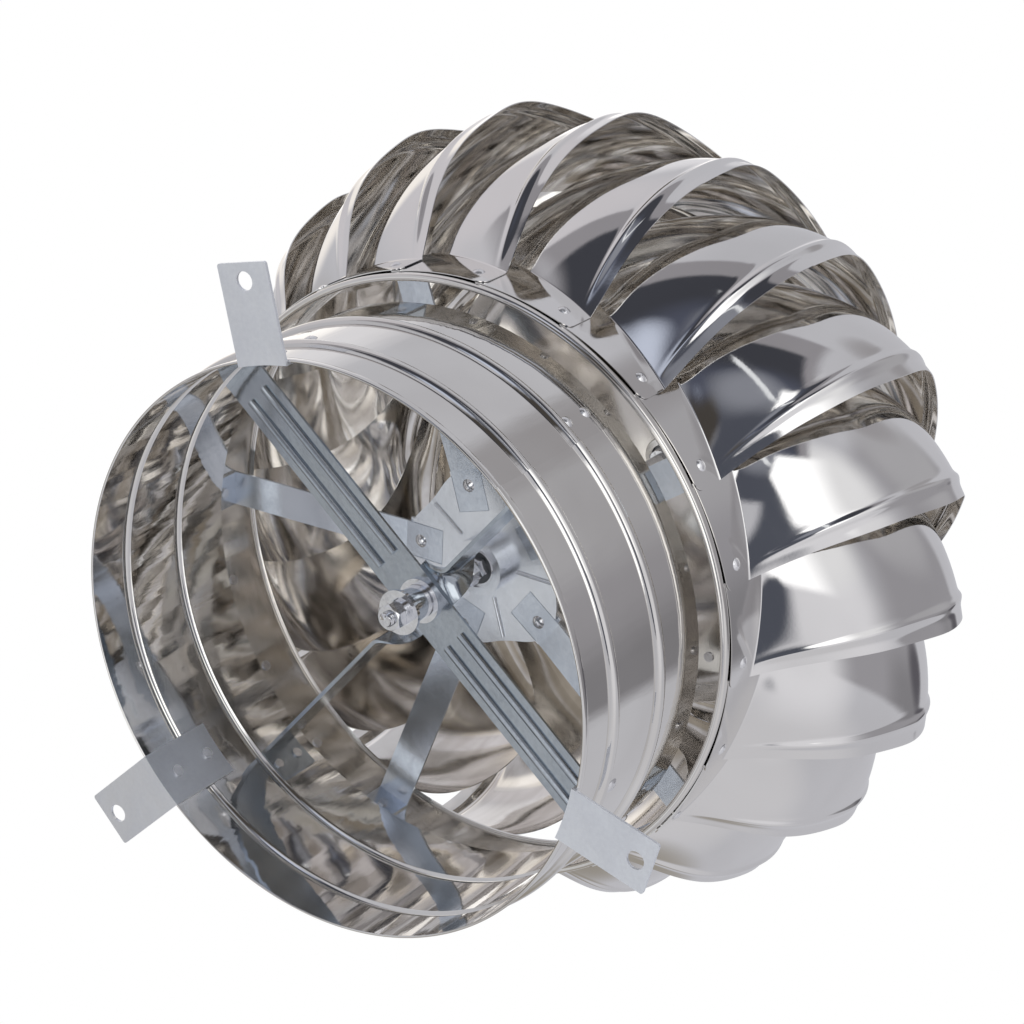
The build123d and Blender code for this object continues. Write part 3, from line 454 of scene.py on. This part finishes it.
def vane_rows():
    S = np.array([station(i) for i in range(len(EDGE))])
    mid = S[:, len(US) // 2]
    t = np.concatenate([[0], np.cumsum(np.linalg.norm(np.diff(mid, axis=0), axis=1))])
    tq = []
    for k in range(len(t) - 1):
        tq += list(t[k] + (t[k + 1] - t[k]) * np.arange(6) / 6.0)
    tq = np.array(tq + [t[-1]])
    blade = spline(t, S, tq)
    # foot tab, from its rounded lower edge up to the fold
    foot = []
    phis = TAB0 + (TAB1 - TAB0) * US
    corner = np.clip((US - 0.90) / 0.10, 0, 1)
    zb = FOOT_Z + 4.5 * (1 - np.sqrt(np.clip(1 - corner ** 2, 0, 1)))
    low = np.array([polar(tab_r(p, COL_R) + VANE_T, p, z) for p, z in zip(phis, zb)])
    fold = blade[0]
    d = (fold - low)
    ln = np.linalg.norm(d, axis=1)[:, None]
    for q in (0.0, 0.03, 0.33, 0.66):
        foot.append(low + d * q)
    foot.append(fold - d / ln * 2.0)
    foot.append(fold - d / ln * 0.9)
    # crown tab
    top = []
    high = np.array([polar(tab_r(p, TOP_R) + VANE_T, p + TURN, TOPTAB_Z) for p in phis])
    fold2 = blade[-1]
    d2 = high - fold2
    ln2 = np.linalg.norm(d2, axis=1)[:, None]
    top.append(fold2 + d2 / ln2 * 0.9)
    top.append(fold2 + d2 / ln2 * 2.0)
    for q in (0.5, 0.97, 1.0):
        top.append(fold2 + d2 * q)
    # rows close to each fold, so that the bend is tight
    b1 = blade[0] + (blade[1] - blade[0]) * 0.35
    b2 = blade[-1] + (blade[-2] - blade[-1]) * 0.35
    rows = foot + [blade[0], b1] + [blade[k] for k in range(1, len(blade) - 1)] + [b2, blade[-1]] + top
    return np.array(rows)


rows = vane_rows()
nr, nc = rows.shape[0], rows.shape[1]
du = np.gradient(rows, axis=1)
ds = np.gradient(rows, axis=0)
nrm = np.cross(du, ds)
nrm /= np.linalg.norm(nrm, axis=2)[:, :, None] + 1e-12
centre = np.zeros_like(rows)
centre[:, :, 2] = 225.0
flip = np.sign(np.mean((nrm * (rows - centre)).sum(2)))
nrm *= flip
inner = rows - nrm * VANE_T
vane_v = np.concatenate([rows.reshape(-1, 3), inner.reshape(-1, 3)])
off = nr * nc
vane_f = []
for i in range(nr - 1):
    for j in range(nc - 1):
        a, b_, c_, d_ = i * nc + j, i * nc + j + 1, (i + 1) * nc + j + 1, (i + 1) * nc + j
        q = (a, b_, c_, d_) if flip > 0 else (a, d_, c_, b_)
        vane_f.append(q)
        vane_f.append(tuple(off + x for x in q[::-1]))
ring = [j for j in range(nc)] + [i * nc + nc - 1 for i in range(1, nr)] + \
       [(nr - 1) * nc + j for j in range(nc - 2, -1, -1)] + [i * nc for i in range(nr - 2, 0, -1)]
for k in range(len(ring)):
    a, b_ = ring[k], ring[(k + 1) % len(ring)]
    q = (b_, a, off + a, off + b_) if flip > 0 else (a, b_, off + b_, off + a)
    vane_f.append(q)
inside = [1 if min(q) >= off else 0 for q in vane_f]
for i in range(VANE_N):
    a = math.radians(VANE_PHASE + 18.0 * i)
    c, s = math.cos(a), math.sin(a)
    R = np.array([[c, s, 0], [-s, c, 0], [0, 0, 1]])
    blade = add_mesh("blade_%02d" % (i + 1), vane_v @ R, vane_f, M_VANE, "rotor",
                     ("vane_%02d" % (i + 1),), sharp=62)
    # the inner faces take the darker copy of the steel, which is painted shade
    blade.data.materials.append(M_VANE_IN_PAINTED_SHADE)
    blade.data.polygons.foreach_set("material_index", inside)

# ------------------------------------------------------------------ threaded shaft
SH_Z0, SH_Z1, PITCH = 51.0, 336.0, 1.25


def shaft_mesh():
    seg = 28
    zs = [SH_Z0, SH_Z0 + 0.8]
    step = PITCH / 8.0
    z = SH_Z0 + 0.8
    while z < 122.0:
        z += step
        zs.append(z)
    zs += [124.0, 140.0, 180.0, 220.0, 260.0, 298.0]
    z = 300.0
    while z < SH_Z1 - 0.8 - step:
        zs.append(z)
        z += step
    zs += [SH_Z1 - 0.8, SH_Z1]
    verts, faces = [], []
    for z in zs:
        for k in range(seg):
            a = 2 * math.pi * k / seg
            if z in (SH_Z0, SH_Z1):
                r = 3.2
            elif z <= 122.5 or z >= 300.0:
                ph = (z / PITCH - k / seg) % 1.0
                tri = abs(ph * 2 - 1)
                r = 4.0 - 0.62 * min(1.0, max(0.0, (tri - 0.12) / 0.76))
            else:
                r = 4.0
            verts.append((r * math.cos(a), r * math.sin(a), z))
    for i in range(len(zs) - 1):
        for k in range(seg):
            k2 = (k + 1) % seg
            faces.append((i * seg + k, i * seg + k2, (i + 1) * seg + k2, (i + 1) * seg + k))
    n = len(verts)
    verts += [(0, 0, SH_Z0), (0, 0, SH_Z1)]
    last = (len(zs) - 1) * seg
    for k in range(seg):
        k2 = (k + 1) % seg
        faces.append((n, k2, k))
        faces.append((n + 1, last + k, last + k2))
    return verts, faces


v, f = shaft_mesh()
shaft_obj = add_mesh("threaded_shaft", v, f, M_BOLT, "base", ("shaft",), sharp=50)

# ------------------------------------------------------------------ materials of the carried-over nodes
by_node = {}
for n in ("tab_1", "tab_2", "tab_3"):
    by_node[n] = M_ZINC
for n in ("arm_1", "arm_2", "arm_3", "arm_4", "arm_5"):
    by_node[n] = M_ARM
by_node["hub_plate"] = M_HUB
for n in ("ribbed_strip", "edge_strip"):
    by_node[n] = M_STRIP
for n in ("tab_rivets", "strip_rivets", "hub_rivets", "arm_rivets", "vane_rivets", "crown_rivets", "cap_rivets"):
    by_node[n] = M_RIVET
for n in ("hex_nuts", "flat_washers", "lock_washer", "clamp_bush"):
    by_node[n] = M_BOLT
for n in ("lower_inner_race", "upper_inner_race", "lower_outer_race", "upper_outer_race", "lower_balls", "upper_balls"):
    by_node[n] = M_RACE
for n in ("lower_ball_cage", "upper_ball_cage"):
    by_node[n] = M_CAGE
by_node["bearing_shields"] = M_SHIELD
for n, o in nodes.items():
    m = by_node.get(n, M_VANE if n.startswith("vane") else M_TOP)
    o.data.materials.clear()
    o.data.materials.append(m)

# ------------------------------------------------------------------ floor
fm = bpy.data.materials.new("studio_floor")
fm.use_nodes = True
nt = fm.node_tree
nt.nodes.clear()
net = Net(nt)
out = net.node("ShaderNodeOutputMaterial")
geo = net.node("ShaderNodeNewGeometry")
diff = net.node("ShaderNodeBsdfDiffuse")
diff.inputs["Color"].default_value = (0.90, 0.90, 0.90, 1)
glow = net.node("ShaderNodeEmission")
glow.inputs["Color"].default_value = (1, 1, 1, 1)
glow.inputs["Strength"].default_value = 0.30
pale = net.node("ShaderNodeAddShader")
net.link(diff.outputs[0], pale.inputs[0])
net.link(glow.outputs[0], pale.inputs[1])
clear = net.node("ShaderNodeBsdfTransparent")
mx = net.node("ShaderNodeMixShader")
net.link(geo.outputs["Backfacing"], mx.inputs[0])
net.link(pale.outputs[0], mx.inputs[1])
net.link(clear.outputs[0], mx.inputs[2])
net.link(mx.outputs[0], out.inputs[0])
fme = bpy.data.meshes.new("floor")
fme.from_pydata([(-12, -12, -0.0006), (12, -12, -0.0006), (12, 12, -0.0006), (-12, 12, -0.0006)], [], [(0, 1, 2, 3)])
fme.materials.append(fm)
floor = bpy.data.objects.new("floor", fme)
scene.collection.objects.link(floor)
floor.visible_diffuse = False
floor.visible_glossy = False
floor.visible_transmission = False
floor.visible_shadow = False

# ------------------------------------------------------------------ camera, fitted to the photograph
RC = np.array([[-0.2763041966462255, 0.7809908810065291, 0.5600975224907976],
               [-0.9426922074802884, -0.10681332849893332, -0.3161049110832038],
               [-0.1870491723361136, -0.6153406833938616, 0.7657469885600272]])
TC = np.array([-92.19315756278502, 70.53934447174393, 1477.2252780024362]) / 1000.0
FOCAL_PX = 3031.266
a0 = math.radians(6.978735)
RZ = np.array([[math.cos(a0), -math.sin(a0), 0], [math.sin(a0), math.cos(a0), 0], [0, 0, 1]])
R = RC @ RZ
C = -R.T @ TC
cam = bpy.data.cameras.new("camera")
cam_o = bpy.data.objects.new("camera", cam)
scene.collection.objects.link(cam_o)
M = np.eye(4)
M[:3, 0], M[:3, 1], M[:3, 2], M[:3, 3] = R[0], -R[1], -R[2], C
cam_o.matrix_world = Matrix(M.tolist())
cam.sensor_fit = "HORIZONTAL"
cam.sensor_width = 36.0
cam.lens = 36.0 * FOCAL_PX / 1024.0
cam.clip_start = 0.01
cam.clip_end = 50.0
cam.dof.use_dof = False
scene.camera = cam_o

# ------------------------------------------------------------------ studio
# directions in the camera's own frame (right, up, towards the camera), turned into the row frame
AX = np.array([R[0], -R[1], -R[2]])


def from_view(x, y, z):
    d = x * AX[0] + y * AX[1] + z * AX[2]
    return tuple(float(q) for q in d / np.linalg.norm(d))


world = bpy.data.worlds.new("studio")
scene.world = world
world.use_nodes = True
wt = world.node_tree
wt.nodes.clear()
net = Net(wt)
wout = net.node("ShaderNodeOutputWorld")
tc = net.node("ShaderNodeTexCoord")
direction = tc.outputs["Generated"]


def along(d):
    """How far the direction looked in lies along d."""
    n = net.node("ShaderNodeVectorMath", operation="DOT_PRODUCT")
    net.link(direction, n.inputs[0])
    n.inputs[1].default_value = d
    return n.outputs["Value"]


def lobe(col, d, inner, outer, colour, amount=1.0):
    """Blend a soft-edged round patch of the studio into the surroundings."""
    m = net.ramp(along(d), math.cos(math.radians(outer)), math.cos(math.radians(inner)), 0.0, amount)
    return net.mix(m, col, colour)


def axis(x, y, z):
    return tuple(float(q) for q in (x * AX[0] + y * AX[1] + z * AX[2]))


def zone(col, tests, colour, amount=1.0):
    """Blend in a card or wall: the directions where every test's value is between its two ends.
    Each test is (axis, low, high, softness at low, softness at high)."""
    mask = None
    for ax, lo, hi, s_lo, s_hi in tests:
        v = along(axis(*ax))
        m = net.ramp(v, lo - s_lo, lo + s_lo, 0.0, 1.0)
        if hi < 1.5:
            m = net.math("MULTIPLY", m, net.ramp(v, hi - s_hi, hi + s_hi, 1.0, 0.0))
        mask = m if mask is None else net.math("MULTIPLY", mask, m)
    if amount != 1.0:
        mask = net.math("MULTIPLY", mask, amount)
    return net.mix(mask, col, colour)


X, Y, Z = (1, 0, 0), (0, 1, 0), (0, 0, 1)
N, S, P, D, V = (-0.6, 0.8, 0.0), (1.0, 0.2, 0.0), (1.0, 0.29, 0.0), (1.0, -0.35, 0.0), (0.894, 0.163, -0.419)
rgb = net.node("ShaderNodeRGB")
rgb.outputs[0].default_value = (0.54, 0.54, 0.575, 1)
col = rgb.outputs[0]
# brighter floor side, right front, and its continuation below and above
col = lobe(col, from_view(0.40, -0.88, 0.25), 15, 42, (0.63, 0.625, 0.65))
col = lobe(col, from_view(0.72, -0.25, 0.64), 12, 38, (0.76, 0.755, 0.785))
col = lobe(col, from_view(0.66, 0.40, 0.63), 10, 30, (0.84, 0.84, 0.855))
col = lobe(col, from_view(-0.45, 0.75, -0.38), 14, 34, (0.63, 0.61, 0.64))
# side wall, right and behind
col = zone(col, [(X, 0.72, 2, 0.06, 0), (Z, -0.66, 0.26, 0.06, 0.2), (Y, -0.25, 2, 0.03, 0)], (0.335, 0.328, 0.35))
col = lobe(col, from_view(0.82, 0.53, -0.20), 8, 24, (0.42, 0.415, 0.435))
col = lobe(col, from_view(0.64, 0.72, -0.24), 3, 11, (0.35, 0.34, 0.355))
col = zone(col, [(X, 0.70, 2, 0.05, 0), (Z, -0.68, -0.30, 0.05, 0.10), (Y, -0.25, 0.0, 0.03, 0.14)], (0.235, 0.23, 0.245))
col = lobe(col, from_view(0.79, -0.05, -0.61), 2, 10, (0.11, 0.105, 0.12))
col = lobe(col, from_view(-0.12, 0.50, -0.86), 5, 20, (0.80, 0.79, 0.82))
col = lobe(col, from_view(-0.86, -0.49, 0.15), 10, 32, (0.74, 0.76, 0.79))
# lights behind, to the left, and the darker room around them
col = lobe(col, from_view(-0.8, -0.35, -0.45), 20, 45, (0.30, 0.27, 0.235))
col = lobe(col, from_view(-0.2, -0.85, -0.45), 12, 30, (0.34, 0.315, 0.28))
col = lobe(col, from_view(-0.1, 0.27, -0.96), 6, 15, (1.25, 1.22, 1.2))
col = lobe(col, from_view(-0.38, 0.4, -0.83), 6, 18, (1.0, 0.95, 0.90))
# ceiling: a half-lit strip, then dark with a crisp rear edge, bluer towards the front
col = zone(col, [(X, -0.70, 0.53, 0.08, 0.03), (Z, -0.06, 2, 0.025, 0), (Y, 0.45, 2, 0.06, 0)], (0.30, 0.29, 0.31))
col = zone(col, [(X, -0.66, 0.465, 0.08, 0.025), (Z, 0.20, 2, 0.03, 0), (Y, 0.45, 2, 0.06, 0)], (0.052, 0.054, 0.066))
col = zone(col, [(X, -0.60, 0.455, 0.10, 0.03), (Z, 0.58, 2, 0.12, 0), (Y, 0.45, 2, 0.06, 0)], (0.082, 0.090, 0.125))
col = lobe(col, from_view(-0.40, 0.56, 0.71), 2, 15, (0.60, 0.65, 0.78))
# front: dark band and broad soft boxes
col = zone(col, [(N, 0.30, 0.54, 0.06, 0.06), (Z, 0.40, 2, 0.1, 0), (X, -1.2, 0.15, 0.1, 0.06)], (0.065, 0.058, 0.052))
col = zone(col, [(N, -0.30, 0.14, 0.05, 0.05), (Z, 0.6, 2, 0.08, 0), (X, -0.62, 0.0, 0.08, 0.03)], (1.5, 1.5, 1.5))
col = zone(col, [(S, 0.03, 0.405, 0.04, 0.02), (Z, 0.60, 2, 0.06, 0), (Y, 0.17, 0.75, 0.03, 0.05)], (0.082, 0.088, 0.112))
col = zone(col, [(X, 0.17, 0.44, 0.05, 0.06), (Z, 0.60, 2, 0.06, 0), (Y, -0.54, 0.3, 0.05, 0.05)], (0.085, 0.092, 0.116))
col = lobe(col, from_view(0.12, 0.63, 0.77), 3, 18, (0.26, 0.27, 0.31))
col = zone(col, [(P, 0.38, 2, 0.025, 0), (S, -1.2, 0.69, 0.1, 0.10), (D, 0.115, 2, 0.015, 0), (Z, 0.36, 2, 0.10, 0),
                 (Y, -0.06, 0.62, 0.05, 0.03)], (1.35, 1.35, 1.36))
# a thin upright lamp in the dark ceiling
col = zone(col, [(V, -0.030, 0.012, 0.007, 0.007), (Y, 0.52, 2, 0.03, 0), (X, 0.05, 0.34, 0.02, 0.02)], (0.85, 0.87, 0.90))
bg_env = net.node("ShaderNodeBackground")
net.link(col, bg_env.inputs["Color"])
bg_env.inputs["Strength"].default_value = 1.0
bg_cam = net.node("ShaderNodeBackground")
bg_cam.inputs["Color"].default_value = (1, 1, 1, 1)
bg_cam.inputs["Strength"].default_value = 1.0
lp = net.node("ShaderNodeLightPath")
mixw = net.node("ShaderNodeMixShader")
net.link(lp.outputs["Is Camera Ray"], mixw.inputs[0])
net.link(bg_env.outputs[0], mixw.inputs[1])
net.link(bg_cam.outputs[0], mixw.inputs[2])
net.link(mixw.outputs[0], wout.inputs[0])


def area(name, d, dist, size, power, colour=(1, 1, 1), size_y=None):
    l = bpy.data.lights.new(name, "AREA")
    l.shape = "RECTANGLE"
    l.size = size
    l.size_y = size_y or size
    l.energy = power
    l.color = colour
    o = bpy.data.objects.new(name, l)
    scene.collection.objects.link(o)
    tgt = Vector((0, 0, 0.17))
    o.location = tgt + Vector(d) * dist
    o.rotation_euler = (tgt - o.location).to_track_quat("-Z", "Y").to_euler()
    o.visible_glossy = False
    return o


area("key", from_view(0.5, 0.75, 0.6), 2.2, 1.2, 45)
area("fill", from_view(-0.8, -0.1, 0.6), 2.4, 1.4, 25)

scene.view_settings.view_transform = "Standard"
# the blades mirror each other many times over
scene.cycles.glossy_bounces = 8
scene.cycles.max_bounces = 12
